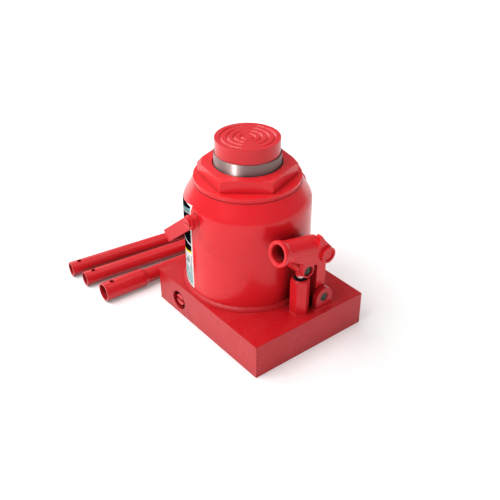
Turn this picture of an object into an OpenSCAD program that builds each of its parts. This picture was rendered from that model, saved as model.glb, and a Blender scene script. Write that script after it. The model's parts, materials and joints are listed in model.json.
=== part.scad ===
// Hydraulic bottle jack, short 50 ton class, with its loose three-piece pump handle.
// Origin: on the ram's axis, at the underside of the base. +Z is up, +X points to the pump,
// and -Y is the operator's side, where the release valve sits and the handle socket opens.

/* [Base] */
// From the ram's axis to the rear end of the base
base_rear = 79; // [76:1:85]
// From the ram's axis to the pump end of the base
base_front = 121; // [120:1:130]
// Half of the base's width
base_half_w = 83.5; // [82:0.5:90]
// Height of the base block
base_h = 45; // [45:0.5:48]

/* [Reservoir] */
// Outside radius of the oil reservoir
tank_r = 77.5; // [77:0.1:78]
// Thickness of the reservoir's wall
tank_wall = 4; // [3:0.5:5]
// Height where the reservoir's neck meets the top nut
neck_z = 185; // [184:0.5:188]
// Outside radius of the reservoir's neck
neck_r = 64.5; // [64:0.5:66]
// Steepness of the conical shoulder, from the horizontal
shoulder_angle = 60; // [55:1:62]
// Radius of the bend between wall and shoulder
shoulder_bend = 20; // [15:1:25]

/* [Ram] */
// Radius of the polished ram
ram_r = 40; // [38:0.5:41]
// Height of the ram's shoulder, under the saddle
ram_top = 218; // [214:1:220]
// Radius of the saddle
saddle_r = 38.5; // [36:0.5:39]
// Thickness of the saddle above the ram
saddle_h = 18; // [14:1:20]
// How far the ram lifts
ram_stroke = 118; // [100:1:118]
// Inside radius of the pressure cylinder
bore_r = 43; // [42.5:0.1:43]
// Outside radius of the pressure cylinder
cyl_r = 53; // [52:0.5:53]

/* [Top nut] */
// Hexagon size of the top nut, across its flats
nut_af = 103; // [100:0.5:104]
// Height of the top nut's upper face
nut_top = 205; // [203:0.5:206]
// Thickness of the top nut's round flange
nut_flange_h = 4.4; // [4:0.1:5]

/* [Pump] */
// Distance of the pump's axis from the ram's axis
pump_x = 98.5; // [97:0.5:100]
// Radius to the corners of the pump cylinder's hexagon
pump_hex_r = 11.9; // [11.5:0.1:12]
// Height of the pump cylinder's top
pump_top = 93; // [90:0.5:93]
// Radius of the pump piston
piston_r = 5.25; // [5:0.05:5.5]
// Height of the piston pin with the lever at rest
pin_z = 108.5; // [108:0.5:110]

/* [Lever linkage] */
// Distance of the link's pins behind the pump axis
link_y = 27; // [26:0.5:28]
// Height of the link's lower pin
link_low_z = 60.5; // [60:0.5:61]
// Height of the link's upper bolt
link_high_z = 121.5; // [120:0.5:122]
// Width of the link bar
link_w = 14; // [12:0.5:15]
// Height of the handle socket's axis at its mouth
socket_z = 140.2; // [140:0.1:142]
// Length of the handle socket
socket_len = 60; // [58:1:61]
// Depth of the handle socket's bore
socket_depth = 45; // [40:1:46]
// Tilt of the handle socket, mouth up
socket_tilt = 11; // [10:0.5:12]
// Radius of the handle socket's bore
socket_bore_r = 10.6; // [10.5:0.1:11]
// Radius of the handle socket's tube
socket_r = 13.5; // [13.2:0.1:14]
// Radius of the collar at the mouth of the socket
collar_r = 15.4; // [15:0.1:16]

/* [Carrying handle] */
// Height of the carrying handle's pivots
bail_z = 153; // [152:0.5:154]
// Distance of the handle's arms from the middle, to their inner face
bail_half_w = 83; // [83:0.5:84]
// Reach from the pivot to the outer face of the crossbar
bail_reach = 113; // [113:0.5:115]
// Thickness of the handle's strap
strap_t = 4; // [3.5:0.5:4]
// Width of the handle's strap
strap_w = 15.5; // [14:0.5:16]
// Angle that the handle hangs below the horizontal
bail_hang = 40; // [38:0.5:40]

/* [Release valve] */
// Sideways place of the release valve
release_x = -35.5; // [-37:0.5:-34]
// Height of the release valve's axis
release_z = 20.2; // [20:0.1:20.5]
// Radius of the recess around the release valve
recess_r = 12.9; // [12:0.1:13]
// Depth of the recess
recess_depth = 14; // [13:0.5:14]

/* [Pump handle] */
// Length of each piece of the pump handle
rod_len = 330; // [320:5:340]
// Outside radius of the pump handle's tube
rod_r = 10.15; // [10:0.05:10.3]
// Wall of the pump handle's tube
rod_wall = 2; // [1.5:0.25:2.5]
// Length of the expanded sleeve on the joining piece
sleeve_len = 57; // [50:1:60]

/* [Hidden] */
$fn = 72;

fit = 0.05; // radial gap of a running or a screwed fit
side_gap = 0.5; // gap between the faces of parts that turn beside each other
cut = 1; // how far a cutter runs past a face

// Heights inside the base and the cylinder
pocket_z = 26;
seal_t = 2;
cyl_bottom = pocket_z + seal_t;
cyl_top = 180;
piston_bottom = 32;
piston_top = cyl_top - ram_stroke;
ram_stub_r = 25;
cup_z = 40;
cup_h = 8;
guide_ring_z = 52;
guide_ring_h = 6;
seal_groove_r = 37;

// Rings in the saddle's face
ring_pitch = 7.9;
ring_w = 3.4;
ring_depth = 1.4;

// Top nut
hex_r = nut_af / 2 / cos(30);
hex_z = neck_z + nut_flange_h;
hex_turn = -10;
hex_chamfer = 2.5;
skirt_r = 60.3;
skirt_z = 152;
bush_z = 183;
bush_h = 12;
bush_r = 44;
wiper_z = 197.5;
wiper_h = 5;
wiper_lip = 1.5;
oring_r = 1.6;
oring_z = 178.5;

// Reservoir outline: a straight wall, one bend, then a cone up to the neck
bend_sweep = 90 - shoulder_angle;
bend_centre_r = tank_r - shoulder_bend;
cone_foot_r = bend_centre_r + shoulder_bend * cos(bend_sweep);
cone_foot_z = neck_z - (cone_foot_r - neck_r) * tan(shoulder_angle);
bend_z = cone_foot_z - shoulder_bend * sin(bend_sweep);
bend_steps = 8;

// Weld bead at the foot of the reservoir
weld_w = 5;
weld_h = 5;

// Label on the reservoir's front
label_t = 0.25;
label_z0 = 51.5;
label_z1 = 173;
label_from = 195;
label_sweep = 68.8;
label_slant = 11.5;

// Oil passages and check valves
passage_r = 2;
drill_r = 1.7;
riser_r = 1.5;
ball_r = 3;
ball_seat = sqrt(ball_r * ball_r - passage_r * passage_r);
chamber_r = 6;
chamber_z = 10;
chamber_top = pocket_z;
feed_z = 22;
press_z = 12;
inlet_z = 7;
inlet_y = 9;
inlet_angle = atan(inlet_y / (base_front - pump_x));
inlet_face = (base_front - pump_x) / cos(inlet_angle);
inlet_len = inlet_face + 4;
inlet_reach = 37;
inlet_riser_x = pump_x - inlet_reach * cos(inlet_angle);
inlet_riser_y = -inlet_reach * sin(inlet_angle);
plug_r = 4;
plug_len = 7;
outlet_x = 66;
outlet_r = 4.5;
outlet_seat_z = 18;
outlet_plug_r = 6.5;
outlet_plug_z0 = 1;
outlet_plug_z1 = 8;
riser_x = 30;
relief_r = 5;
relief_seat_x = -56;
relief_screw_x0 = -78;
relief_screw_x1 = -69;
relief_drain_x = -62;
drain_r = 1.8;
cage_z = 16.8;
cage_h = 1.5;
spring_wire = 0.5;
spring_gap = 0.12;

// Release valve, all along the Y axis
recess_y = -base_half_w + recess_depth;
gland_r = 8;
gland_y1 = -60;
gland_flange_r = 9.8;
gland_flange_t = 3.5;
stem_r = 5;
stem_y1 = -53;
valve_chamber_y = -50;
valve_seat_y = -46;
valve_pass_y = -15;
spindle_head_r = 7.5;
spindle_head_y = -81.5;
spindle_slot_w = 3.2;
spindle_slot_h = 5;

// Pump
pump_stem_r = 9;
pump_stem_z = pocket_z + seal_t;
pump_bore_r = piston_r + fit;
neck_pin_r = 5.8;
neck_bottom = 97;
eye_r = 8;
eye_half = 6.5;
pin_r = 4.8;
pin_inset = 2;
piston_bottom_z = 31.5;
piston_seal_z = 35;
piston_seal_h = 3;
piston_seal_r = 3.6;
pump_wiper_h = 4;
pump_wiper_z = pump_top - pump_wiper_h - 1.5;
pump_wiper_r = 8;
pump_chamfer = 3;

// Lever linkage. Half widths are measured from the pump's plane.
ear_in = eye_half + side_gap;
ear_out = socket_r + 0.2;
pin_play = 1.6;
ear_hole_r = pin_r + pin_play;
ear_lobe_r = 8.3;
ear_front_y = -22;
ear_fin_h = 18;
ear_drop = 2;
rear_lobe_r = 10.5;
bolt_r = 5;
bolt_head_r = 9.9;
bolt_head_h = 4;
bolt_dish_r = 7.3;
bolt_dish = 1.5;
bolt_nut_r = 8.4;
bolt_nut_h = 5.5;
link_lobe_r = 9;
low_pin_r = 5.5;
low_pin_inset = 1;
lug_r = 12.5;
lug_out = 14.5;
lug_chamfer = 0.8;
socket_y = -36.4;
collar_len = 5;
collar_taper = 4;
socket_round = 4;
mouth_chamfer = 1.2;
relief_cut_r = link_lobe_r + 1.5;

// Carrying handle
bail_straight = 63;
bail_bend_r = 7;
bail_side = bail_half_w - bail_bend_r;
bail_end = bail_reach - strap_t - bail_bend_r;
bail_centres = [
    [bail_straight, bail_side], [bail_end, bail_side - bail_end + bail_straight],
    [bail_end, bail_end - bail_straight - bail_side], [bail_straight, -bail_side]];
boss_r = 8;
screw_r = 4;
screw_head_r = 5.5;
screw_head_h = 2.2;
screw_in = 8;
screw_slot_w = 1.4;
screw_slot_h = 1;

// Filler plug
filler_angle = 135;
filler_z = 130;
filler_r = 5;
filler_head_r = 8;
filler_head_h = 4;
filler_in = 6;

// Pump handle pieces: place of the near end, and the turn about Z
rod_tip_at = [-197.1, -153.4];
rod_tip_yaw = 6.67;
rod_middle_at = [-164.9, -149.3];
rod_middle_yaw = 6.2;
rod_sleeve_at = [-118.8, -146.4];
rod_sleeve_yaw = 2;
rod_hole_r = 3;
rod_hole_in = 13;
sleeve_r = 12.65;
sleeve_taper = 6;
sleeve_drop = (sleeve_r - rod_r) / (rod_len - sleeve_len);

paint = "firebrick";
polished = "gainsboro";
dark = "dimgray";

// A tube or ring that stands on height z
module ring(r_out, r_in, z, h) {
    translate([0, 0, z]) difference() {
        cylinder(r = r_out, h = h);
        translate([0, 0, -cut]) cylinder(r = r_in, h = h + 2 * cut);
    }
}

// A round bar along X, from x0 to x1, through (y, z)
module bar_x(r, x0, x1, y = 0, z = 0) {
    translate([x0, y, z]) rotate([0, 90, 0]) cylinder(r = r, h = x1 - x0);
}

// A round bar along Y, from y0 to y1, through (x, z)
module bar_y(r, y0, y1, x = 0, z = 0) {
    translate([x, y0, z]) rotate([-90, 0, 0]) cylinder(r = r, h = y1 - y0);
}

// A round bar along Z, from z0 to z1, through (x, y)
module bar_z(r, z0, z1, x = 0, y = 0) {
    translate([x, y, z0]) cylinder(r = r, h = z1 - z0);
}

// A flat plate in a Y-Z plane, cut from an outline of [y, z] points, from x0 to x1
module plate_x(x0, x1, points) {
    translate([x0, 0, 0]) rotate([90, 0, 90]) linear_extrude(x1 - x0) polygon(points);
}

// A close-coiled spring along Z
module spring(r, h, turns) {
    linear_extrude(height = h, twist = -360 * turns, slices = 12 * turns, $fn = 8)
        translate([r, 0]) circle(r = spring_wire, $fn = 8);
}

// The bend between the reservoir's wall and its shoulder, set in from its outer surface
function tank_bend(inset) = [for (i = [0 : bend_steps])
    let (a = bend_sweep * i / bend_steps, r = shoulder_bend - inset)
    [bend_centre_r + r * cos(a), bend_z + r * sin(a)]];

// The reservoir's outline, set in from its outer surface
function tank_outline(inset) = concat([[tank_r - inset, base_h]], tank_bend(inset),
    [[neck_r - inset / sin(shoulder_angle), neck_z]]);

function backwards(points) = [for (i = [len(points) - 1 : -1 : 0]) points[i]];

module oil_passages() {
    // pump chamber, and the delivery passage to the outlet valve
    bar_z(chamber_r, chamber_z, chamber_top + cut, pump_x);
    bar_x(drill_r, outlet_x, base_front - plug_len, 0, feed_z);
    bar_x(plug_r, base_front - plug_len, base_front + cut, 0, feed_z);
    // outlet valve
    bar_z(passage_r, outlet_seat_z - cut, feed_z, outlet_x);
    bar_z(outlet_r, outlet_plug_z1, outlet_seat_z, outlet_x);
    bar_z(outlet_plug_r, -cut, outlet_plug_z1 + fit, outlet_x);
    // pressure passage under the cylinder, and its riser
    bar_x(passage_r, relief_seat_x - cut, outlet_x, 0, press_z);
    bar_z(riser_r, press_z, pocket_z + cut, riser_x);
    // relief valve and its drain
    bar_x(relief_r, -base_rear - cut, relief_seat_x, 0, press_z);
    bar_z(drain_r, press_z, base_h + cut, relief_drain_x);
    // inlet drilling, which slants under the pump chamber to the reservoir
    translate([pump_x, 0, inlet_z]) rotate([0, 0, inlet_angle]) {
        bar_x(drill_r, -inlet_reach, inlet_len);
        bar_x(plug_r, inlet_face - plug_len, inlet_len);
    }
    bar_z(passage_r, inlet_z, chamber_z + cut, pump_x);
    bar_z(passage_r, inlet_z, base_h + cut, inlet_riser_x, inlet_riser_y);
}

// A turned shape along Y: [radius, y] points from front to back, closed on the axis
module turned_y(points, x, z) {
    translate([x, 0, z]) rotate([-90, 0, 0]) rotate_extrude() polygon(concat(
        [[0, points[0][1]]], points, [[0, points[len(points) - 1][1]]]));
}

module release_bores() {
    turned_y([
        [recess_r, -base_half_w - cut], [recess_r, recess_y],
        [gland_r, recess_y], [gland_r, gland_y1 + 2],
        [stem_r + fit, gland_y1 + 2], [stem_r + fit, valve_chamber_y],
        [ball_r + 1.2, valve_chamber_y], [ball_r + 1.2, valve_seat_y],
        [passage_r, valve_seat_y], [passage_r, valve_pass_y]], release_x, release_z);
    bar_z(riser_r, release_z, pocket_z + cut, release_x, valve_pass_y - passage_r);
    bar_z(drain_r, release_z, base_h + cut, release_x, (valve_chamber_y + valve_seat_y) / 2);
}

// Fork on the base that holds the link's lower pin
module link_lug() {
    difference() {
        union() {
            bar_x(lug_r, pump_x - lug_out, pump_x + lug_out, link_y, link_low_z);
            translate([pump_x - lug_out, link_y - lug_r, base_h - cut])
                cube([2 * lug_out, 2 * lug_r, link_low_z - base_h + cut]);
        }
        translate([pump_x - ear_in, link_y - 2 * lug_r, base_h])
            cube([2 * ear_in, 4 * lug_r, 2 * lug_r + link_low_z - base_h]);
        bar_x(low_pin_r, pump_x - lug_out - cut, pump_x + lug_out + cut, link_y, link_low_z);
        translate([pump_x + lug_out - lug_chamfer, link_y, link_low_z]) rotate([0, 90, 0])
            cylinder(r1 = low_pin_r - fit, r2 = low_pin_r + lug_chamfer, h = lug_chamfer + fit);
    }
}

module base() {
    color(paint) difference() {
        union() {
            translate([-base_rear, -base_half_w, 0])
                cube([base_rear + base_front, 2 * base_half_w, base_h]);
            link_lug();
        }
        bar_z(cyl_r + fit, pocket_z, base_h + cut);
        bar_z(pump_stem_r + fit, pocket_z, base_h + cut, pump_x);
        oil_passages();
        release_bores();
    }
}

module passage_plugs() {
    color(paint) {
        bar_x(plug_r - fit, base_front - plug_len + 0.5, base_front, 0, feed_z);
        intersection() {
            translate([pump_x, 0, inlet_z]) rotate([0, 0, inlet_angle])
                bar_x(plug_r - fit, inlet_face - plug_len + 0.5, inlet_len);
            translate([0, -base_half_w, 0]) cube([base_front, 2 * base_half_w, base_h]);
        }
    }
}

module oil_strainer() {
    color("goldenrod") translate([inlet_riser_x, inlet_riser_y, 0])
        ring(2 * passage_r, passage_r - 0.5, base_h, 1.2);
}

module outlet_plug() {
    color(dark) difference() {
        bar_z(outlet_plug_r - fit, outlet_plug_z0, outlet_plug_z1, outlet_x);
        translate([outlet_x, 0, outlet_plug_z0 - cut]) cylinder(r = 3, h = 4 + cut, $fn = 6);
    }
}

module outlet_spring() {
    spring_z1 = outlet_seat_z - ball_seat - ball_r - spring_gap;
    color(polished) translate([outlet_x, 0, outlet_plug_z1 + spring_gap])
        spring(2, spring_z1 - outlet_plug_z1 - spring_gap, 4);
}

module relief_spring() {
    spring_x1 = relief_seat_x - ball_seat - ball_r - spring_gap;
    color(polished) translate([relief_screw_x1 + spring_gap, 0, press_z]) rotate([0, 90, 0])
        spring(2, spring_x1 - relief_screw_x1 - spring_gap, 6);
}

module relief_screw() {
    color(dark) difference() {
        bar_x(relief_r - fit, relief_screw_x0, relief_screw_x1, 0, press_z);
        translate([relief_screw_x0 - cut, 0, press_z]) rotate([0, 90, 0])
            cylinder(r = 2.6, h = 4 + cut, $fn = 6);
    }
}

module inlet_ball_cage() {
    color("goldenrod") translate([pump_x, 0, 0]) ring(chamber_r - fit, ball_r - 0.8, cage_z, cage_h);
}

module release_gland() {
    color(paint) translate([release_x, 0, release_z]) difference() {
        union() {
            bar_y(gland_r - fit, recess_y, gland_y1);
            translate([0, recess_y, 0]) rotate([90, 0, 0])
                cylinder(r = gland_flange_r, h = gland_flange_t, $fn = 6);
        }
        bar_y(stem_r + fit, recess_y - gland_flange_t - cut, gland_y1 + cut);
    }
}

module release_oring() {
    color(dark) translate([release_x, gland_y1 + 1, release_z]) rotate([90, 0, 0])
        rotate_extrude() translate([(stem_r + gland_r) / 2 + fit, 0]) circle(r = 0.95);
}

module cylinder_gasket() {
    color("peru") ring(cyl_r - 0.5, bore_r + 2, pocket_z, seal_t);
}

module pressure_cylinder() {
    color("silver") ring(cyl_r, bore_r, cyl_bottom, cyl_top - cyl_bottom);
}

module reservoir() {
    color(paint) difference() {
        rotate_extrude() polygon(concat(tank_outline(0), backwards(tank_outline(tank_wall))));
        translate([0, 0, neck_z - tank_wall * 3]) cylinder(r = skirt_r + fit, h = 4 * tank_wall);
        translate([0, 0, filler_z]) rotate([0, 0, filler_angle])
            bar_x(filler_r, tank_r - 2 * tank_wall, tank_r + cut);
    }
}

module reservoir_weld() {
    color(paint) rotate_extrude() polygon([
        [tank_r, base_h], [tank_r + weld_w, base_h], [tank_r + weld_w * 0.85, base_h + weld_h * 0.45],
        [tank_r + weld_w * 0.45, base_h + weld_h * 0.85], [tank_r, base_h + weld_h]]);
}

module tank_oring() {
    color(dark) translate([0, 0, oring_z]) rotate_extrude()
        translate([skirt_r - oring_r + fit, 0]) circle(r = oring_r);
}

module top_nut() {
    color(paint) difference() {
        union() {
            bar_z(skirt_r, skirt_z, neck_z);
            bar_z(neck_r, neck_z, hex_z);
            intersection() {
                translate([0, 0, hex_z]) rotate([0, 0, hex_turn])
                    cylinder(r = hex_r, h = nut_top - hex_z, $fn = 6);
                union() {
                    bar_z(hex_r + cut, hex_z - cut, nut_top - hex_chamfer);
                    translate([0, 0, nut_top - hex_chamfer])
                        cylinder(r1 = hex_r + fit, r2 = hex_r - 2 * hex_chamfer, h = hex_chamfer);
                }
            }
        }
        bar_z(cyl_r + fit, skirt_z - cut, cyl_top);
        bar_z(ram_r + fit, skirt_z, nut_top + cut);
        bar_z(bush_r, bush_z, bush_z + bush_h);
        bar_z(bush_r, wiper_z, wiper_z + wiper_h);
        bar_z(ram_r + wiper_lip, wiper_z + wiper_h - cut, nut_top + cut);
        difference() {
            bar_z(skirt_r + cut, oring_z - oring_r, oring_z + oring_r);
            bar_z(skirt_r - 2 * oring_r, oring_z - 2 * oring_r, oring_z + 2 * oring_r);
        }
    }
}

module ram_guide_bush() {
    color("goldenrod") ring(bush_r - fit, ram_r + fit, bush_z, bush_h);
}

module ram_wiper() {
    color(dark) ring(bush_r - fit, ram_r + fit, wiper_z, wiper_h);
}

module label_decal() {
    color("white") rotate([0, 0, label_from]) difference() {
        rotate_extrude(angle = label_sweep) polygon(concat(
            [[tank_r, label_z0], [tank_r + label_t, label_z0]], tank_bend(-label_t),
            backwards(tank_bend(0))));
        // the top edge drops towards the rear end of the label
        translate([0, 0, label_z1]) rotate([0, label_slant, 0])
            translate([-2 * tank_r, -2 * tank_r, 0]) cube([4 * tank_r, 4 * tank_r, 2 * tank_r]);
    }
}

module carry_handle_bosses() {
    color(paint) for (side = [0, 1]) mirror([0, side, 0]) difference() {
        bar_y(boss_r, tank_r - tank_wall, bail_half_w - fit * 4, 0, bail_z);
        bar_z(tank_r, base_h, bail_z + 2 * boss_r);
        bar_y(screw_r, bail_half_w - screw_in, bail_half_w + cut, 0, bail_z);
    }
}

module carry_handle_screws() {
    head_y = bail_half_w + strap_t + fit * 4;
    color(dark) for (side = [0, 1]) mirror([0, side, 0]) difference() {
        union() {
            bar_y(screw_r, bail_half_w - screw_in + 2.5, head_y, 0, bail_z);
            bar_y(screw_head_r, head_y, head_y + screw_head_h, 0, bail_z);
        }
        translate([-screw_head_r - cut, head_y + screw_head_h - screw_slot_h, bail_z - screw_slot_w / 2])
            cube([2 * screw_head_r + 2 * cut, screw_slot_h + cut, screw_slot_w]);
    }
}

module pump_cylinder() {
    color(paint) translate([pump_x, 0, 0]) difference() {
        union() {
            bar_z(pump_stem_r, pump_stem_z, base_h);
            intersection() {
                translate([0, 0, base_h]) cylinder(r = pump_hex_r, h = pump_top - base_h, $fn = 6);
                union() {
                    bar_z(pump_hex_r + cut, base_h - cut, pump_top - pump_chamfer);
                    translate([0, 0, pump_top - pump_chamfer]) cylinder(
                        r1 = pump_hex_r + fit, r2 = pump_wiper_r + 1.5, h = pump_chamfer);
                }
            }
        }
        bar_z(pump_bore_r, pump_stem_z - cut, pump_top + cut);
        bar_z(pump_wiper_r, pump_wiper_z, pump_top + cut);
    }
}

module pump_gasket() {
    color("peru") translate([pump_x, 0, 0]) ring(pump_stem_r - 0.2, chamber_r, pocket_z, seal_t);
}

module pump_wiper() {
    color(dark) translate([pump_x, 0, 0])
        ring(pump_wiper_r - fit, pump_bore_r, pump_wiper_z, pump_wiper_h);
}

module link_lower_pin() {
    color(dark) bar_x(low_pin_r, pump_x - lug_out, pump_x + lug_out - low_pin_inset, link_y, link_low_z);
}

module release_ball() {
    color(polished) translate([release_x, valve_seat_y - ball_seat, release_z]) sphere(r = ball_r);
}

module ram() {
    color(polished) {
        bar_z(ram_stub_r, pocket_z, piston_top + cut);
        bar_z(ram_r, piston_top, ram_top);
        bar_z(ram_r / 2, ram_top - cut, ram_top + saddle_h * 0.6);
    }
}

module ram_piston() {
    color("silver") difference() {
        ring(bore_r - fit, ram_stub_r, piston_bottom, piston_top - piston_bottom);
        ring(bore_r + cut, seal_groove_r, cup_z, cup_h);
        ring(bore_r + cut, seal_groove_r, guide_ring_z, guide_ring_h);
    }
}

module ram_u_cup() {
    lip = 1.5;
    color(dark) difference() {
        ring(bore_r - fit, seal_groove_r, cup_z, cup_h);
        ring(bore_r - lip, seal_groove_r + lip, cup_z - cut, cup_h / 2 + cut);
    }
}

module ram_guide_ring() {
    color("peru") ring(bore_r - fit, seal_groove_r, guide_ring_z, guide_ring_h);
}

module saddle() {
    color(paint) difference() {
        bar_z(saddle_r, ram_top, ram_top + saddle_h);
        bar_z(ram_r / 2, ram_top - cut, ram_top + saddle_h * 0.6);
        // V-shaped rings in the top face
        for (i = [1 : 4])
            translate([0, 0, ram_top + saddle_h]) rotate_extrude() polygon([
                [i * ring_pitch - ring_w / 2, fit], [i * ring_pitch, -ring_depth],
                [i * ring_pitch + ring_w / 2, fit]]);
    }
}

module pump_piston() {
    color(polished) translate([pump_x, 0, 0]) difference() {
        union() {
            bar_z(piston_r, piston_bottom_z, neck_bottom + cut);
            bar_z(neck_pin_r, neck_bottom, pin_z);
            bar_x(eye_r, -eye_half, eye_half, 0, pin_z);
        }
        bar_x(pin_r, -eye_half - cut, eye_half + cut, 0, pin_z);
        ring(piston_r + cut, piston_seal_r, piston_seal_z, piston_seal_h);
    }
}

module pump_piston_seal() {
    color(dark) translate([pump_x, 0, 0]) ring(piston_r, piston_seal_r, piston_seal_z, piston_seal_h);
}

module piston_pin() {
    color(dark) bar_x(pin_r, pump_x - ear_out + pin_inset, pump_x + ear_out - pin_inset, 0, pin_z);
}

module pump_link() {
    color(paint) difference() {
        union() {
            bar_x(link_lobe_r, pump_x - eye_half, pump_x + eye_half, link_y, link_low_z);
            bar_x(link_lobe_r, pump_x - eye_half, pump_x + eye_half, link_y, link_high_z);
            translate([pump_x - eye_half, link_y - link_w / 2, link_low_z])
                cube([2 * eye_half, link_w, link_high_z - link_low_z]);
        }
        bar_x(low_pin_r + fit, pump_x - lug_out, pump_x + lug_out, link_y, link_low_z);
        bar_x(bolt_r + fit, pump_x - lug_out, pump_x + lug_out, link_y, link_high_z);
    }
}

// Places its children with +Z along the socket's axis, from the mouth inwards
// Height of the ears' upper edge, just under the axis of the socket tube, at a place along Y
function ear_edge_z(y) = socket_z - ear_drop - (y - socket_y) * tan(socket_tilt);

module along_socket() {
    translate([pump_x, socket_y, socket_z]) rotate([-90 - socket_tilt, 0, 0]) children();
}

// One ear of the socket's fork, with its lobes for the piston pin and the link's bolt. Its upper
// edge follows the middle of the tube, and it stands up by fin_h beside the tube's rear end.
module socket_ear(x0, x1, fin_h) {
    difference() {
        union() {
            bar_x(ear_lobe_r, x0, x1, 0, pin_z);
            bar_x(rear_lobe_r, x0, x1, link_y, link_high_z);
            plate_x(x0, x1, [
                [-ear_lobe_r, pin_z], [ear_lobe_r, pin_z], [ear_lobe_r, pin_z + 6],
                [link_y - 12, link_high_z - rear_lobe_r], [link_y, link_high_z - rear_lobe_r],
                [link_y + rear_lobe_r, link_high_z], [link_y + 7.5, link_high_z + 7.5],
                [link_y - 2.5, link_high_z + 10 + fin_h / 2], [link_y - 9, link_high_z + 10 + fin_h],
                [link_y - 11.5, link_high_z + 9 + fin_h], [link_y - 12, ear_edge_z(link_y - 12)],
                [ear_front_y, ear_edge_z(ear_front_y)], [ear_front_y, ear_edge_z(ear_front_y) - 6],
                [-ear_lobe_r, pin_z + 13.5]]);
        }
        bar_x(ear_hole_r, x0 - cut, x1 + cut, 0, pin_z);
        bar_x(bolt_r, x0 - cut, x1 + cut, link_y, link_high_z);
    }
}

module handle_socket() {
    color(paint) difference() {
        union() {
            along_socket() cylinder(r = collar_r, h = collar_len);
            along_socket() translate([0, 0, collar_len])
                cylinder(r1 = collar_r, r2 = socket_r, h = collar_taper);
            along_socket() cylinder(r = socket_r, h = socket_len - socket_round);
            along_socket() translate([0, 0, socket_len - socket_round])
                cylinder(r1 = socket_r, r2 = socket_r - socket_round, h = socket_round);
            socket_ear(pump_x - ear_out, pump_x - ear_in, 0);
            socket_ear(pump_x + ear_in, pump_x + ear_out, ear_fin_h);
        }
        along_socket() translate([0, 0, -cut]) cylinder(r = socket_bore_r, h = socket_depth + cut);
        along_socket() translate([0, 0, -0.01])
            cylinder(r1 = socket_bore_r + mouth_chamfer, r2 = socket_bore_r, h = mouth_chamfer);
        bar_x(relief_cut_r, pump_x - ear_in, pump_x + ear_in, link_y, link_high_z);
        bar_x(bolt_r, pump_x - lug_out, pump_x + lug_out, link_y, link_high_z);
    }
}

module socket_bolt() {
    color(paint) {
        bar_x(bolt_r, pump_x - ear_out - bolt_nut_h - 0.5, pump_x + ear_out, link_y, link_high_z);
        difference() {
            bar_x(bolt_head_r, pump_x + ear_out, pump_x + ear_out + bolt_head_h, link_y, link_high_z);
            bar_x(bolt_dish_r, pump_x + ear_out + bolt_head_h - bolt_dish,
                pump_x + ear_out + bolt_head_h + cut, link_y, link_high_z);
        }
    }
}

module socket_bolt_nut() {
    color(dark) difference() {
        translate([pump_x - ear_out - bolt_nut_h, link_y, link_high_z]) rotate([0, 90, 0])
            cylinder(r = bolt_nut_r, h = bolt_nut_h, $fn = 6);
        bar_x(bolt_r, pump_x - ear_out - bolt_nut_h - cut, pump_x, link_y, link_high_z);
    }
}

// Flat strap, bent in one plane: two arms, two 45 degree corners and the crossbar
// One edge of the strap around its four bends of 45 degrees, at distance r from their centres
function strap_edge(r) = [
    for (i = [0:3], step = [0:bend_steps])
        bail_centres[i] + r * [sin(45 * (i + step / bend_steps)), cos(45 * (i + step / bend_steps))]];

module carry_handle() {
    wide = bail_half_w + strap_t;
    color(paint) translate([0, 0, bail_z]) rotate([0, 180 - bail_hang, 0]) difference() {
        union() {
            translate([0, 0, -strap_w / 2]) linear_extrude(strap_w) polygon(concat(
                [[0, wide]], strap_edge(bail_bend_r + strap_t), [[0, -wide], [0, -bail_half_w]],
                backwards(strap_edge(bail_bend_r)), [[0, bail_half_w]]));
            bar_y(strap_w / 2 + cut, bail_half_w, wide);
            bar_y(strap_w / 2 + cut, -wide, -bail_half_w);
        }
        bar_y(screw_r + fit, -wide - cut, wide + cut);
    }
}

module release_spindle() {
    tip_y = valve_seat_y - ball_seat - ball_r;
    color(paint) translate([release_x, 0, release_z]) difference() {
        union() {
            bar_y(ball_r, stem_y1 - cut, tip_y);
            bar_y(stem_r, spindle_head_y + cut, stem_y1);
            bar_y(spindle_head_r, spindle_head_y, recess_y - gland_flange_t - fit * 4);
        }
        translate([-spindle_head_r - cut, spindle_head_y - cut, -spindle_slot_w / 2])
            cube([2 * spindle_head_r + 2 * cut, spindle_slot_h + cut, spindle_slot_w]);
    }
}

module inlet_ball() {
    color(polished) translate([pump_x, 0, chamber_z + ball_seat]) sphere(r = ball_r);
}

module outlet_ball() {
    color(polished) translate([outlet_x, 0, outlet_seat_z - ball_seat]) sphere(r = ball_r);
}

module relief_ball() {
    color(polished) translate([relief_seat_x - ball_seat, 0, press_z]) sphere(r = ball_r);
}

module filler_plug() {
    color(dark) translate([0, 0, filler_z]) rotate([0, 0, filler_angle]) {
        bar_x(filler_r - fit, tank_r - filler_in, tank_r + 0.5);
        bar_x(filler_head_r, tank_r + fit, tank_r + filler_head_h);
    }
}

// Places its children with +Z along a rod that lies on the floor, from its near end
module lay_rod(at, yaw, height, drop) {
    translate([at[0], at[1], height]) rotate([0, 0, -yaw]) rotate([-90 - drop, 0, 0]) children();
}

module plain_rod() {
    difference() {
        cylinder(r = rod_r, h = rod_len);
        translate([0, 0, -cut]) cylinder(r = rod_r - rod_wall, h = rod_len + 2 * cut);
        bar_y(rod_hole_r, -rod_r - cut, rod_r + cut, 0, rod_hole_in);
    }
}

module handle_rod_tip() {
    color(paint) lay_rod(rod_tip_at, rod_tip_yaw, rod_r, 0) plain_rod();
}

module handle_rod_middle() {
    color(paint) lay_rod(rod_middle_at, rod_middle_yaw, rod_r, 0) plain_rod();
}

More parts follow.
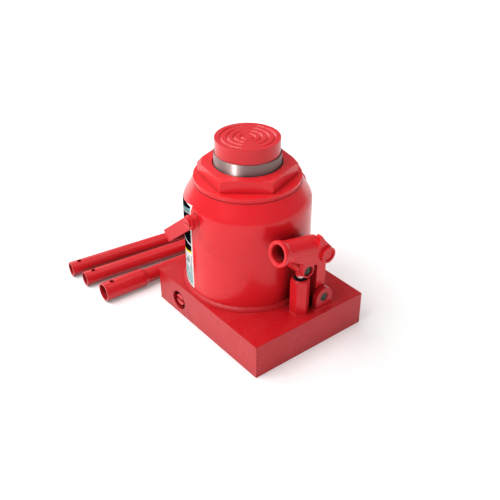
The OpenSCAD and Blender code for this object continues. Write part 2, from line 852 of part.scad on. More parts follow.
module handle_rod_sleeve() {
    height = sleeve_r + sleeve_drop * sleeve_len;
    color(paint) lay_rod(rod_sleeve_at, rod_sleeve_yaw, height, atan(sleeve_drop)) difference() {
        union() {
            cylinder(r = sleeve_r, h = sleeve_len);
            translate([0, 0, sleeve_len])
                cylinder(r1 = sleeve_r, r2 = rod_r, h = sleeve_taper);
            translate([0, 0, sleeve_len]) cylinder(r = rod_r, h = rod_len - sleeve_len);
        }
        translate([0, 0, -cut]) cylinder(r = sleeve_r - rod_wall, h = sleeve_len + cut);
        translate([0, 0, sleeve_len - cut]) cylinder(r = rod_r - rod_wall, h = rod_len);
        bar_y(rod_hole_r, -sleeve_r - cut, sleeve_r + cut, 0, rod_hole_in);
    }
}

base();
passage_plugs();
oil_strainer();
outlet_plug();
outlet_spring();
relief_spring();
relief_screw();
inlet_ball_cage();
release_gland();
release_oring();
cylinder_gasket();
pressure_cylinder();
reservoir();
reservoir_weld();
tank_oring();
top_nut();
ram_guide_bush();
ram_wiper();
label_decal();
carry_handle_bosses();
carry_handle_screws();
pump_cylinder();
pump_gasket();
pump_wiper();
link_lower_pin();
release_ball();
ram();
ram_piston();
ram_u_cup();
ram_guide_ring();
saddle();
pump_piston();
pump_piston_seal();
piston_pin();
pump_link();
handle_socket();
socket_bolt();
socket_bolt_nut();
carry_handle();
release_spindle();
inlet_ball();
outlet_ball();
relief_ball();
filler_plug();
handle_rod_tip();
handle_rod_middle();
handle_rod_sleeve();
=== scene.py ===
"""Short hydraulic bottle jack with its loose pump handle: looks, light and camera."""
import json
import math
import bmesh
import bpy
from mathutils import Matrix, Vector


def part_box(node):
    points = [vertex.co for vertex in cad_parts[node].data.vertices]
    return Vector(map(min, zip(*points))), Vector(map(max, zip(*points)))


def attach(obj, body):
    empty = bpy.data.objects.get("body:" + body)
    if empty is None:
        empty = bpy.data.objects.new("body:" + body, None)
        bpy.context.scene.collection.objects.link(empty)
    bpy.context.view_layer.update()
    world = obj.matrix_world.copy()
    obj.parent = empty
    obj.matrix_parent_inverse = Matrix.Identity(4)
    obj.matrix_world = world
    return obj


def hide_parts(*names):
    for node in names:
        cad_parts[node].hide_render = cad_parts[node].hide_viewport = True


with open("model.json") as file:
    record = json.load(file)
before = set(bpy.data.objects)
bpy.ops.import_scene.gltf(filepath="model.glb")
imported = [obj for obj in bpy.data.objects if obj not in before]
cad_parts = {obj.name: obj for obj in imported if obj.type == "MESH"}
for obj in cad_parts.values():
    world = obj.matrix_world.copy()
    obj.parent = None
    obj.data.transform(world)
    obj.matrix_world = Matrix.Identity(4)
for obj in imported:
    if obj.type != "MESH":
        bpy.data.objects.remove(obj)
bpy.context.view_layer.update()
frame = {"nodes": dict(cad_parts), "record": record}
nodes = frame["nodes"]
MM = 0.001


# ---------------------------------------------------------------- camera and light

def look_at(obj, target):
    """Turns a camera or a lamp so that it looks at target with its top up."""
    obj.rotation_mode = "QUATERNION"
    obj.rotation_quaternion = (Vector(target) - obj.location).to_track_quat("-Z", "Y")


def add_camera():
    """The main view, from between the pump side and the operator's front."""
    azimuth, elevation, distance = math.radians(51.56), math.radians(33.24), 0.950
    target = Vector((0.0018, 0.0021, 0.0806))
    back = Vector((math.sin(azimuth) * math.cos(elevation),
                   -math.cos(azimuth) * math.cos(elevation), math.sin(elevation)))
    data = bpy.data.cameras.new("camera")
    data.lens, data.sensor_width = 54.45, 36.0
    camera = bpy.data.objects.new("camera", data)
    bpy.context.scene.collection.objects.link(camera)
    camera.location = target + back * distance
    look_at(camera, target)
    bpy.context.scene.camera = camera


def add_softbox(name, place, target, size, power):
    """A rectangular area lamp of size metres and power watts, turned to face target."""
    data = bpy.data.lights.new(name, "AREA")
    data.shape, data.size, data.size_y = "RECTANGLE", size[0], size[1]
    data.energy = power
    lamp = bpy.data.objects.new(name, data)
    bpy.context.scene.collection.objects.link(lamp)
    lamp.location = place
    look_at(lamp, target)
    return lamp


def add_studio():
    """Three large softboxes, a strip that lights only the ram, and an even white sky."""
    middle = (0.0, 0.0, 0.10)
    add_softbox("key_softbox", (-0.25, -1.20, 1.75), middle, (1.6, 1.2), 29.0)
    add_softbox("left_softbox", (-1.50, -0.20, 1.20), middle, (1.7, 1.5), 17.5)
    add_softbox("top_softbox", (0.20, 0.30, 1.80), middle, (1.4, 1.4), 7.0)
    strip = add_softbox("ram_strip_softbox", (0.25, -1.60, 0.55), middle, (0.16, 0.90), 22.0)
    lit = bpy.data.collections.new("lit_by_ram_strip")
    lit.objects.link(nodes["ram"])
    strip.light_linking.receiver_collection = lit
    world = bpy.data.worlds.new("studio")
    bpy.context.scene.world = world
    world.use_nodes = True
    sky = world.node_tree.nodes["Background"]
    sky.inputs["Color"].default_value = (1.0, 1.0, 1.0, 1.0)
    sky.inputs["Strength"].default_value = 0.29
    bpy.context.scene.view_settings.view_transform = "Standard"


# ---------------------------------------------------------------- material building

class Look:
    """One material: a Principled shader, and short calls for the nodes that feed it."""

    def __init__(self, name, **values):
        self.material = bpy.data.materials.new(name)
        self.material.use_nodes = True
        self.tree = self.material.node_tree
        self.shader = self.tree.nodes["Principled BSDF"]
        self.place = self.add("ShaderNodeTexCoord").outputs["Object"]
        self.set(**values)

    def add(self, kind, **settings):
        node = self.tree.nodes.new(kind)
        for key, value in settings.items():
            setattr(node, key, value)
        return node

    def feed(self, socket, value):
        """Links value to a socket, or sets it there when it is a number or a colour."""
        if isinstance(value, bpy.types.NodeSocket):
            self.tree.links.new(value, socket)
        elif isinstance(value, tuple) and len(value) == 3 and socket.type == "RGBA":
            socket.default_value = (*value, 1.0)
        else:
            socket.default_value = value

    def set(self, **values):
        """Sets the shader's inputs: base_color=..., roughness=... and so on."""
        for key, value in values.items():
            label = " ".join(word.capitalize() for word in key.split("_"))
            self.feed(self.shader.inputs[label.replace("Ior", "IOR")], value)

    def math(self, operation, first, second=0.0, third=None, clamp=False):
        """One step of arithmetic on numbers or links."""
        node = self.add("ShaderNodeMath", operation=operation, use_clamp=clamp)
        self.feed(node.inputs[0], first)
        self.feed(node.inputs[1], second)
        if third is not None:
            self.feed(node.inputs[2], third)
        return node.outputs[0]

    def stretched(self, scale):
        """The place of a point, scaled along each axis."""
        node = self.add("ShaderNodeMapping")
        self.feed(node.inputs["Vector"], self.place)
        node.inputs["Scale"].default_value = scale
        return node.outputs[0]

    def noise(self, scale, detail, roughness, place=None, distortion=0.0):
        node = self.add("ShaderNodeTexNoise")
        self.feed(node.inputs["Vector"], place or self.place)
        for key, value in (("Scale", scale), ("Detail", detail), ("Roughness", roughness),
                           ("Distortion", distortion)):
            node.inputs[key].default_value = value
        return node.outputs["Fac"]

    def ramp(self, factor, stops):
        """A colour ramp from (position, grey or colour) stops."""
        node = self.add("ShaderNodeValToRGB")
        self.feed(node.inputs["Fac"], factor)
        ramp = node.color_ramp
        while len(ramp.elements) < len(stops):
            ramp.elements.new(1.0)
        for element, (position, colour) in zip(ramp.elements, stops):
            element.position = position
            element.color = (*colour, 1.0) if isinstance(colour, tuple) else (colour,) * 3 + (1.0,)
        return node.outputs["Color"]

    def mix(self, factor, first, second):
        """Goes from first to second; inputs 6 and 7 and output 2 are the mixer's colour sockets."""
        node = self.add("ShaderNodeMix", data_type="RGBA")
        self.feed(node.inputs[0], factor)
        self.feed(node.inputs[6], first)
        self.feed(node.inputs[7], second)
        return node.outputs[2]

    def xyz(self, vector=None):
        """The three parts of a vector, or of the point's place in metres."""
        node = self.add("ShaderNodeSeparateXYZ")
        self.feed(node.inputs[0], vector or self.place)
        return node.outputs

    def crevice(self, reach):
        """1 where the surface is open, towards 0 in corners and joints."""
        node = self.add("ShaderNodeAmbientOcclusion", samples=6)
        node.inputs["Distance"].default_value = reach
        return node.outputs["AO"]

    def edge(self, radius):
        """Bends the normal over sharp edges, and gives (normal, mask of edges)."""
        soft = self.add("ShaderNodeBevel", samples=4)
        soft.inputs["Radius"].default_value = radius
        flat = self.add("ShaderNodeNewGeometry").outputs["Normal"]
        dot = self.add("ShaderNodeVectorMath", operation="DOT_PRODUCT")
        self.feed(dot.inputs[0], soft.outputs["Normal"])
        self.feed(dot.inputs[1], flat)
        return soft.outputs["Normal"], self.math("SUBTRACT", 1.0, dot.outputs["Value"], clamp=True)

    def bump(self, height, strength, distance, normal=None):
        node = self.add("ShaderNodeBump")
        node.inputs["Strength"].default_value = strength
        node.inputs["Distance"].default_value = distance
        self.feed(node.inputs["Height"], height)
        if normal is not None:
            self.feed(node.inputs["Normal"], normal)
        return node.outputs["Normal"]


# ---------------------------------------------------------------- materials

# linear colours
RED = (0.80, 0.0135, 0.0225)
DEEP_RED = (0.56, 0.006, 0.010)
PALE_RED = (0.86, 0.024, 0.034)
# dark red brown: grime in patches and joints, and also painted shade in corners and deep gaps
GRIME_AND_SHADE = (0.060, 0.012, 0.010)
BARE_STEEL = (0.34, 0.33, 0.32)


def enamel(name, peel, cast=0.0, gloss=0.30, shade_depth=1.0, corner_grime_and_shade=0.9, coat=0.32, seam_z=None):
    """Thick glossy red enamel: orange peel, pooled tone, dust, grime and painted shade in corners,
    worn edges.

    Peel and cast are the strengths of the fine and the coarse relief. A factor under 1 darkens the
    red as painted shade, and seam_z is the height of a joint that holds a line of grime.
    """
    look = Look(name, specular_ior_level=0.22, coat_weight=coat, coat_roughness=0.10, coat_ior=1.45)
    colour, smear, normal = enamel_layers(look, peel, cast, gloss, shade_depth, corner_grime_and_shade)
    if seam_z is not None:
        reach = 2.0 * MM
        away = look.math("ABSOLUTE", look.math("SUBTRACT", look.xyz()[2], seam_z))
        line = look.ramp(look.math("DIVIDE", away, reach), [(0.30, 0.55), (0.60, 0.0)])
        colour = look.mix(line, colour, GRIME_AND_SHADE)
    look.set(base_color=colour, roughness=smear, normal=normal)
    return look.material


def enamel_layers(look, peel, cast, gloss, shade_depth, corner_grime_and_shade):
    """The colour, roughness and normal of red enamel, for a look that may mix them further."""
    # a factor under 1 darkens every red of this enamel: painted shade for a part that gets less light
    deep, red, pale = (tuple(part * shade_depth for part in shade) for shade in (DEEP_RED, RED, PALE_RED))
    tone = look.ramp(look.noise(14.0, 4.0, 0.6), [(0.25, deep), (0.5, red), (0.75, pale)])
    colour = look.mix(0.55, tone, red)
    # darker in corners and joints: grime in noisy patches, and partly painted shade
    grime_and_shade_in_corners = look.ramp(look.crevice(5 * MM), [(0.15, corner_grime_and_shade), (0.60, 0.0)])
    patchy = look.ramp(look.noise(160.0, 5.0, 0.7), [(0.35, 0.25), (0.65, 0.80)])
    colour = look.mix(look.math("MULTIPLY", grime_and_shade_in_corners, patchy), colour, GRIME_AND_SHADE)
    # painted shade: deep gaps between parts, such as the one beside the pump cylinder, go dark
    painted_gap_shade = look.ramp(look.crevice(40 * MM), [(0.08, 0.95), (0.50, 0.0)])
    colour = look.mix(painted_gap_shade, colour, GRIME_AND_SHADE)
    soft_normal, edges = look.edge(0.7 * MM)
    chips = look.ramp(look.noise(420.0, 6.0, 0.75), [(0.63, 0.0), (0.68, 1.0)])
    rim = look.ramp(edges, [(0.10, 0.0), (0.22, 1.0)])
    wear = look.math("MULTIPLY", look.math("MULTIPLY", rim, chips), 0.18)
    colour = look.mix(wear, colour, BARE_STEEL)
    up = look.xyz(look.add("ShaderNodeNewGeometry").outputs["Normal"])[2]
    dust = look.math("MULTIPLY", look.ramp(up, [(0.70, 0.0), (1.0, 1.0)]),
                     look.ramp(look.noise(55.0, 6.0, 0.7), [(0.45, 0.0), (0.80, 0.05)]))
    colour = look.mix(dust, colour, (0.60, 0.42, 0.38))
    smear = look.ramp(look.noise(30.0, 5.0, 0.65), [(0.3, gloss), (0.7, gloss + 0.12)])
    height = look.math("MULTIPLY", look.noise(520.0, 2.0, 0.5), peel)
    if cast:
        grain = look.math("MULTIPLY", look.noise(190.0, 4.0, 0.6), cast)
        height = look.math("ADD", height, grain)
    return colour, smear, look.bump(height, 0.30, 0.7 * MM, soft_normal)


def ground_steel(name, colour, rings, roughness, anisotropic=0.0):
    """Turned or ground metal: fine rings round the Z axis, faint stains."""
    look = Look(name, metallic=1.0)
    tint, shine, normal = ground_layers(look, colour, rings, roughness)
    look.set(base_color=tint, roughness=shine, normal=normal)
    if anisotropic:
        tangent = look.add("ShaderNodeTangent", direction_type="RADIAL", axis="Z")
        look.set(anisotropic=anisotropic, anisotropic_rotation=0.25,
                 tangent=tangent.outputs["Tangent"])
    return look.material


def ground_layers(look, colour, rings, roughness):
    """The colour, roughness and normal of ground metal."""
    lines = look.noise(1.0, 3.0, 0.7, place=look.stretched((2.0, 2.0, rings)))
    stains = look.noise(60.0, 5.0, 0.65, distortion=0.8)
    dark = tuple(part * 0.62 for part in colour)
    tint = look.mix(look.ramp(stains, [(0.45, 0.0), (0.75, 0.3)]), colour, dark)
    shade = look.ramp(look.crevice(6 * MM), [(0.15, 0.8), (0.7, 0.0)])
    tint = look.mix(shade, tint, (0.05, 0.04, 0.035))
    soft_normal, _ = look.edge(0.5 * MM)
    shine = look.ramp(lines, [(0.3, roughness * 0.7), (0.7, roughness * 1.5)])
    return tint, shine, look.bump(lines, 0.12, 0.2 * MM, soft_normal)


def painted_rod(name):
    """The pump piston: ground steel below, and red enamel on its neck and eye."""
    look = Look(name)
    _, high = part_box("pump_piston")
    paint_from, fade = high.z - 19.5 * MM, 0.5 * MM
    ragged = look.math("MULTIPLY", look.noise(300.0, 3.0, 0.6), 1.2 * MM)
    height = look.math("SUBTRACT", look.xyz()[2], ragged)
    painted = look.ramp(look.math("MULTIPLY_ADD", height, 1 / fade, -paint_from / fade),
                        [(0.0, 0.0), (1.0, 1.0)])
    steel, shine, steel_normal = ground_layers(look, (0.80, 0.80, 0.79), 2600.0, 0.16)
    colour, smear, paint_normal = enamel_layers(look, peel=0.10, cast=0.0, gloss=0.30, shade_depth=1.0,
                                                corner_grime_and_shade=0.9)
    look.set(base_color=look.mix(painted, steel, colour), roughness=look.mix(painted, shine, smear),
             metallic=look.math("SUBTRACT", 1.0, painted),
             normal=look.mix(painted, steel_normal, paint_normal))
    return look.material


def oiled_steel(name):
    """Dark phosphated steel with a mottled oily film and bright edges."""
    look = Look(name, metallic=0.70)
    mottle = look.noise(300.0, 5.0, 0.7)
    tint = look.ramp(mottle, [(0.40, (0.014, 0.018, 0.014)), (0.58, (0.050, 0.062, 0.048)),
                              (0.75, (0.20, 0.20, 0.16))])
    soft_normal, edges = look.edge(0.6 * MM)
    tint = look.mix(look.ramp(edges, [(0.08, 0.0), (0.3, 0.6)]), tint, (0.36, 0.36, 0.34))
    look.set(base_color=tint, roughness=look.ramp(mottle, [(0.3, 0.26), (0.8, 0.48)]),
             normal=look.bump(mottle, 0.25, 0.4 * MM, soft_normal))
    return look.material


def black_rubber(name):
    """Matt black rubber with a little dust on it."""
    look = Look(name, specular_ior_level=0.35, sheen_weight=0.15, sheen_roughness=0.4)
    grain = look.noise(900.0, 4.0, 0.6)
    dust = look.ramp(look.noise(90.0, 5.0, 0.7), [(0.5, 0.0), (0.9, 0.35)])
    tint = look.mix(dust, (0.014, 0.014, 0.015), (0.09, 0.075, 0.065))
    look.set(base_color=tint, roughness=look.ramp(grain, [(0.3, 0.45), (0.8, 0.7)]),
             normal=look.bump(grain, 0.4, 0.4 * MM))
    return look.material


def soft_metal(name, colour, roughness):
    """Bronze, copper or cast iron: tarnish in patches, and a fine grain."""
    look = Look(name, metallic=0.9)
    patches = look.noise(130.0, 6.0, 0.7, distortion=0.6)
    dark = tuple(part * 0.45 for part in colour)
    look.set(base_color=look.ramp(patches, [(0.3, dark), (0.6, colour)]),
             roughness=look.ramp(patches, [(0.3, roughness + 0.2), (0.7, roughness)]),
             normal=look.bump(look.noise(700.0, 3.0, 0.6), 0.2, 0.3 * MM))
    return look.material


def nylon(name):
    """Natural nylon, slightly translucent."""
    look = Look(name, subsurface_weight=0.15, subsurface_scale=2 * MM)
    grain = look.noise(500.0, 4.0, 0.6)
    look.set(base_color=look.ramp(grain, [(0.3, (0.42, 0.37, 0.28)), (0.7, (0.58, 0.53, 0.43))]),
             roughness=look.ramp(grain, [(0.3, 0.4), (0.7, 0.55)]),
             normal=look.bump(grain, 0.15, 0.3 * MM))
    return look.material


def printed_label(name):
    """Generic printed film: white border, black field with streaks, yellow slash, pale field."""
    look = Look(name, specular_ior_level=0.0)
    low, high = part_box("label_decal")
    front_edge, sweep = math.radians(83.8), math.radians(68.8)
    x, y, z = look.xyz()
    turn = look.math("ARCTAN2", look.math("MULTIPLY", y, -1.0), look.math("MULTIPLY", x, -1.0))
    # along runs from 0 at the label's front edge to 1 at its rear edge, and up from 0 to 1
    along = look.math("DIVIDE", look.math("SUBTRACT", front_edge, turn), sweep)
    up = look.math("DIVIDE", look.math("SUBTRACT", z, low.z), high.z - low.z)

    def above(start, slope):
        """How far a point lies above a slanting line of the print."""
        return look.math("SUBTRACT", up, look.math("MULTIPLY_ADD", along, slope, start))

    def band(start, slope, half_width):
        """1 inside a slanting stripe of the print, and 0 outside it."""
        return look.math("LESS_THAN", look.math("ABSOLUTE", above(start, slope)), half_width)

    white = (0.84, 0.84, 0.82)
    blur = look.noise(1.0, 4.0, 0.6, place=look.stretched((18.0, 18.0, 150.0)), distortion=1.5)
    field = look.ramp(blur, [(0.58, (0.004, 0.004, 0.006)), (0.78, (0.03, 0.034, 0.042))])
    field = look.mix(band(0.948, -0.236, 0.020), field, (0.16, 0.30, 0.31))
    field = look.mix(band(0.915, -0.236, 0.006), field, (0.55, 0.62, 0.62))
    field = look.mix(band(0.530, -0.07, 0.012), field, (0.62, 0.64, 0.70))
    mottle = look.noise(210.0, 3.0, 0.6, distortion=0.6)
    pale = look.ramp(mottle, [(0.38, (0.26, 0.29, 0.30)), (0.50, (0.52, 0.55, 0.58)),
                              (0.62, (0.78, 0.78, 0.80))])
    teal = look.ramp(above(0.22, -0.2), [(0.0, 1.0), (0.02, 0.0)])
    teal = look.math("MULTIPLY", teal, look.ramp(mottle, [(0.40, 0.75), (0.60, 0.15)]))
    pale = look.mix(teal, pale, (0.13, 0.42, 0.37))
    colour = look.mix(look.math("GREATER_THAN", above(0.44, -0.255), 0.0), pale, field)
    colour = look.mix(band(0.420, -0.255, 0.022), colour, white)
    colour = look.mix(band(0.446, -0.280, 0.012), colour, (0.86, 0.66, 0.02))
    side = look.math("SUBTRACT", 0.5, look.math("ABSOLUTE", look.math("SUBTRACT", along, 0.5)))
    ends = look.math("SUBTRACT", 0.5, look.math("ABSOLUTE", look.math("SUBTRACT", up, 0.5)))
    # the ends are scaled so that the border is about as wide there as at the sides
    inset = look.math("MINIMUM", side, look.math("MULTIPLY", ends, 1.4))
    border = look.math("LESS_THAN", inset, 0.030)
    colour = look.mix(border, colour, white)
    scuff = look.ramp(look.noise(75.0, 6.0, 0.7), [(0.66, 0.0), (0.82, 0.05)])
    colour = look.mix(scuff, colour, (0.50, 0.46, 0.42))
    look.set(base_color=colour, roughness=look.ramp(mottle, [(0.3, 0.30), (0.7, 0.42)]),
             normal=look.bump(look.noise(160.0, 3.0, 0.5), 0.06, 0.4 * MM))
    return look.material


def floor_material():
    """Pale paper that glows a little, and more so away from the middle, so that it has no horizon."""
    look = Look("studio_floor")
    tone = look.ramp(look.noise(3.0, 3.0, 0.5), [(0.3, 0.94), (0.7, 0.97)])
    away = look.add("ShaderNodeVectorMath", operation="LENGTH")
    look.feed(away.inputs[0], look.place)
    reach = 2.0
    glow = look.ramp(look.math("DIVIDE", away.outputs["Value"], reach), [(0.25, 0.16), (0.80, 1.0)])
    look.set(base_color=tone, roughness=0.6, emission_color=(1.0, 1.0, 1.0), emission_strength=glow)
    return look.material


def backdrop_material():
    """Plain white, glowing by itself."""
    look = Look("studio_backdrop")
    tone = look.ramp(look.noise(2.0, 2.0, 0.5), [(0.3, 0.97), (0.7, 1.0)])
    look.set(base_color=tone, emission_color=tone, emission_strength=1.0)
    return look.material


def make_materials():
    """One material for each slot in the record."""
    return {
        "red_paint_castings": enamel("red_paint_castings", peel=0.12, cast=0.35),
        "red_paint_sheet": enamel("red_paint_sheet", peel=0.08, gloss=0.26),
        # the tube and the weld enamels are darker copies of the red: painted shade
        "red_paint_tube": enamel("red_paint_tube", peel=0.08, gloss=0.26, shade_depth=0.82, corner_grime_and_shade=0.4,
                                 coat=0.26),
        "weld": enamel("weld", peel=0.10, cast=0.25, shade_depth=0.72, corner_grime_and_shade=0.5, coat=0.20),
        # the ram's steel colour is tinted red: a painted reflection of the red enamel around it
        "polished_ram": ground_steel("polished_ram", (0.40, 0.32, 0.31), 2600.0, 0.46,
                                     anisotropic=0.97),
        "polished_rod": painted_rod("polished_rod"),
        "dark_steel": oiled_steel("dark_steel"),
        "machined_steel": ground_steel("machined_steel", (0.60, 0.60, 0.60), 1500.0, 0.3),
        "piston_iron": soft_metal("piston_iron", (0.30, 0.30, 0.31), 0.45),
        "bronze": soft_metal("bronze", (0.66, 0.47, 0.22), 0.32),
        "copper_washer": soft_metal("copper_washer", (0.72, 0.42, 0.26), 0.35),
        "black_rubber": black_rubber("black_rubber"),
        "grey_nylon": nylon("grey_nylon"),
        "spring_steel": ground_steel("spring_steel", (0.55, 0.56, 0.58), 900.0, 0.3),
        "ball_steel": ground_steel("ball_steel", (0.85, 0.86, 0.88), 400.0, 0.08),
        "label": printed_label("label"),
    }


def dress_nodes(materials):
    """Gives every CAD node the material of its slot, or an enamel of its own."""
    # the base, the strap and the saddle get darker copies of the red enamel: painted shade
    shaded_base_paint = enamel("red_paint_base_shaded", peel=0.12, cast=0.25, gloss=0.24, shade_depth=0.70, coat=0.20)
    shaded_strap_paint = enamel("red_paint_strap_shaded", peel=0.10, gloss=0.34, shade_depth=0.84, coat=0.10)
    _, tank_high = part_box("reservoir")
    under_nut = tank_high.z - 1.0 * MM
    tank_paint = enamel("red_paint_tank", peel=0.08, gloss=0.26, seam_z=under_nut)
    shaded_saddle_paint = enamel("red_paint_saddle_shaded", peel=0.10, cast=0.15, gloss=0.28, shade_depth=0.85, coat=0.46)
    own_paint = {"base": shaded_base_paint, "passage_plugs": shaded_base_paint, "carry_handle": shaded_strap_paint,
                 "reservoir": tank_paint, "saddle": shaded_saddle_paint}
    for part in frame["record"]["subparts"]:
        slots = nodes[part["node"]].data.materials
        slots.clear()
        slots.append(own_paint.get(part["node"], materials[part["material_slot"]]))


# ---------------------------------------------------------------- pieces

def add_piece(name, mesh, body, material, replaces=()):
    """Links a mesh as a piece that rides on a body."""
    piece = bpy.data.objects.new(name, mesh)
    bpy.context.scene.collection.objects.link(piece)
    mesh.materials.clear()
    mesh.materials.append(material)
    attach(piece, body)
    if replaces:
        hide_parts(*replaces)


def to_mesh(name, rings):
    """Skins a closed path of rings, all with the same number of points in metres."""
    mesh = bmesh.new()
    loops = [[mesh.verts.new(point) for point in ring] for ring in rings]
    for here, there in zip(loops, loops[1:] + loops[:1]):
        for i in range(len(here)):
            j = (i + 1) % len(here)
            mesh.faces.new((here[i], here[j], there[j], there[i]))
    bmesh.ops.remove_doubles(mesh, verts=mesh.verts, dist=1e-6)
    bmesh.ops.dissolve_degenerate(mesh, edges=mesh.edges, dist=1e-7)
    bmesh.ops.recalc_face_normals(mesh, faces=mesh.faces)
    data = bpy.data.meshes.new(name)
    mesh.to_mesh(data)
    mesh.free()
    for face in data.polygons:
        face.use_smooth = True
    return data


CROWN_STEPS = 8
SUNK = 0.3 * MM  # how far the root of a bead or fillet lies inside what it joins


def bead_section(across, up, fullness):
    """Points of a weld bead's section, from the wall over the crown to the floor, as (out, up).

    A fullness of 1 gives a quarter of an ellipse, and smaller values flatten the crown.
    """
    power, crown = 2 - fullness, []
    for i in range(CROWN_STEPS + 1):
        angle = math.pi / 2 * i / CROWN_STEPS
        crown.append((across * math.sin(angle) ** power, up * math.cos(angle) ** power))
    return crown + [(-SUNK, -SUNK)]


def ripple(turn, count, chevron):
    """The swell of a hand-laid bead at a turn in radians: overlapping scales and a slow wander.

    The chevron, in radians, moves a scale along the bead, so that scales can bow over the crown.
    """
    scale = 0.05 * abs(math.sin(count / 2 * turn + chevron))
    wander = 0.027 * math.sin(7 * turn + 1.0) + 0.021 * math.sin(17 * turn + 2.3)
    return 0.94 + scale + wander


def add_tank_weld():
    """The rippled bead around the foot of the reservoir."""
    low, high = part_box("reservoir_weld")
    _, tank_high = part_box("reservoir")
    radius = tank_high.x
    section = bead_section(high.x - radius, high.z - low.z, 0.45)
    scales = 200
    around = 7 * scales
    rings = []
    for i in range(around):
        turn = 2 * math.pi * i / around
        ring = []
        for k, (out, lift) in enumerate(section):
            chevron = 0.9 * math.sin(math.pi * min(k / CROWN_STEPS, 1.0))
            swell = ripple(turn, scales, chevron)
            reach = radius + out * swell
            ring.append((reach * math.cos(turn), reach * math.sin(turn), low.z + lift * swell))
        rings.append(ring)
    add_piece("tank_weld_bead", to_mesh("tank_weld_bead", rings), "jack_body",
              materials["weld"], ["reservoir_weld"])


def add_neck_bead():
    """A thin rolled lip where the reservoir's neck meets the flange of the top nut."""
    _, tank_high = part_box("reservoir")
    _, nut_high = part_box("top_nut")
    lip, around, corners, rings = 0.7 * MM, 360, 12, []
    for i in range(around):
        turn = 2 * math.pi * i / around
        ring = []
        for step in range(corners):
            angle = 2 * math.pi * step / corners
            reach, height = nut_high.x + lip * math.cos(angle), tank_high.z + lip * math.sin(angle)
            ring.append((reach * math.cos(turn), reach * math.sin(turn), height))
        rings.append(ring)
    add_piece("neck_lip", to_mesh("neck_lip", rings), "jack_body",
              materials["red_paint_sheet"])


def add_boss_welds():
    """A small bead where each of the carrying handle's bosses meets the reservoir."""
    _, tank_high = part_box("reservoir")
    low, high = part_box("carry_handle_bosses")
    boss_r, middle = (high.z - low.z) / 2, (high.z + low.z) / 2
    section = bead_section(1.5 * MM, 1.5 * MM, 0.6)
    scales, around = 22, 160
    for side, label in ((-1, "front"), (1, "rear")):
        rings = []
        for i in range(around):
            turn = 2 * math.pi * i / around
            ring = []
            for out, lift in section:
                reach = boss_r + out * ripple(turn, scales, 0.0)
                x = reach * math.cos(turn)
                wall = math.sqrt(tank_high.x ** 2 - x ** 2)
                ring.append((x, side * (wall + lift), middle + reach * math.sin(turn)))
            rings.append(ring)
        name = "boss_weld_" + label
        add_piece(name, to_mesh(name, rings), "jack_body", materials["weld"])


def add_foot_fillet(name, corners, floor_z, size):
    """A cast fillet around the foot of an upright prism; corners are its plan, counterclockwise."""
    steps, path = 6, []
    for i, corner in enumerate(corners):
        before = Vector(corner) - Vector(corners[i - 1])
        after = Vector(corners[(i + 1) % len(corners)]) - Vector(corner)
        start = math.atan2(before.y, before.x) - math.pi / 2
        bend = (math.atan2(after.y, after.x) - math.pi / 2 - start) % (2 * math.pi)
        path += [(corner, start + bend * step / steps) for step in range(steps + 1)]
    rings = []
    for (x, y), heading in path:
        ring = []
        for step in range(steps + 1):
            angle = math.pi / 2 * step / steps
            out, lift = size * (1 - math.cos(angle)), size * (1 - math.sin(angle))
            ring.append((x + out * math.cos(heading), y + out * math.sin(heading), floor_z + lift))
        ring.append((x, y, floor_z - SUNK))
        rings.append(ring)
    add_piece(name, to_mesh(name, rings), "jack_body",
              materials["red_paint_castings"])


def add_foot_fillets():
    """Fillets on the base's top, round the hexagonal pump cylinder and round the link's lug."""
    pump_low, pump_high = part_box("pump_cylinder")
    pin_low, pin_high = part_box("link_lower_pin")
    floor_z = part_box("reservoir_weld")[0].z
    pump_x, pump_r = (pump_low.x + pump_high.x) / 2, (pump_high.x - pump_low.x) / 2
    angles = [math.radians(60 * i) for i in range(6)]
    hexagon = [(pump_x + pump_r * math.cos(angle), pump_r * math.sin(angle)) for angle in angles]
    add_foot_fillet("pump_foot_fillet", hexagon, floor_z, 0.9 * MM)
    lug_y = (pin_low.y + pin_high.y) / 2
    half_x, half_y = 14.5 * MM, 12.5 * MM
    lug = [(pump_x - half_x, lug_y - half_y), (pump_x + half_x, lug_y - half_y),
           (pump_x + half_x, lug_y + half_y), (pump_x - half_x, lug_y + half_y)]
    add_foot_fillet("lug_foot_fillet", lug, floor_z, 1.6 * MM)


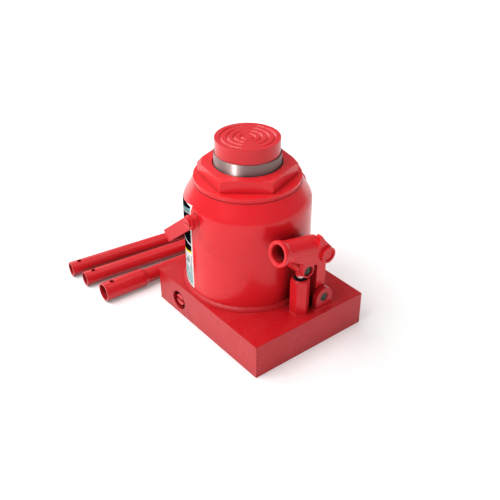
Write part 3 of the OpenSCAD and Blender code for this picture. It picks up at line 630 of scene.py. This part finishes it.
def add_casting(node, name, body):
    """A CAD node's shape with the soft corners and blends of a casting."""
    draft = bpy.data.objects.new(name + "_draft", nodes[node].data.copy())
    bpy.context.scene.collection.objects.link(draft)
    remesh = draft.modifiers.new("remesh", "REMESH")
    remesh.mode, remesh.voxel_size = "VOXEL", 0.5 * MM
    soften = draft.modifiers.new("soften", "SMOOTH")
    soften.factor, soften.iterations = 0.5, 5
    ready = draft.evaluated_get(bpy.context.evaluated_depsgraph_get())
    mesh = bpy.data.meshes.new_from_object(ready)
    bpy.data.objects.remove(draft)
    mesh.name = name
    for face in mesh.polygons:
        face.use_smooth = True
    add_piece(name, mesh, body, materials["red_paint_castings"], [node])


def round_edges():
    """Broken edges on the machined and cut pieces, in millimetres."""
    widths = {"base": 1.2, "top_nut": 0.8, "saddle": 0.9, "pump_cylinder": 0.6, "carry_handle": 0.5,
              "socket_bolt": 0.5, "carry_handle_screws": 0.3, "handle_rod_tip": 0.4,
              "handle_rod_middle": 0.4, "handle_rod_sleeve": 0.4}
    for node, width in widths.items():
        bevel = nodes[node].modifiers.new("broken_edge", "BEVEL")
        bevel.width, bevel.segments = width * MM, 3
        bevel.limit_method, bevel.angle_limit = "ANGLE", math.radians(32)
        bevel.harden_normals = True


# ---------------------------------------------------------------- stage

def add_stage(name, mesh, material):
    """Links a mesh as part of the stage, which isn't part of the object."""
    mesh.materials.append(material)
    stage = bpy.data.objects.new(name, mesh)
    bpy.context.scene.collection.objects.link(stage)
    return stage


def add_floor():
    """The floor, and a white dome over it that only the camera sees, so it casts no light."""
    half, dome_r = 6.0, 5.5
    mesh = bpy.data.meshes.new("floor")
    mesh.from_pydata([(-half, -half, 0), (half, -half, 0), (half, half, 0), (-half, half, 0)], [],
                     [(0, 1, 2, 3)])
    add_stage("floor", mesh, floor_material())
    dome = bmesh.new()
    bmesh.ops.create_uvsphere(dome, u_segments=48, v_segments=24, radius=dome_r)
    mesh = bpy.data.meshes.new("backdrop")
    dome.to_mesh(mesh)
    dome.free()
    backdrop = add_stage("backdrop", mesh, backdrop_material())
    backdrop.visible_diffuse = backdrop.visible_glossy = backdrop.visible_transmission = False
    backdrop.visible_shadow = False


# ---------------------------------------------------------------- the scene

add_camera()
add_studio()
add_floor()
materials = make_materials()
dress_nodes(materials)
add_tank_weld()
add_neck_bead()
add_boss_welds()
add_foot_fillets()
add_casting("handle_socket", "socket_casting", "lever_body")
add_casting("pump_link", "link_casting", "link_body")
round_edges()
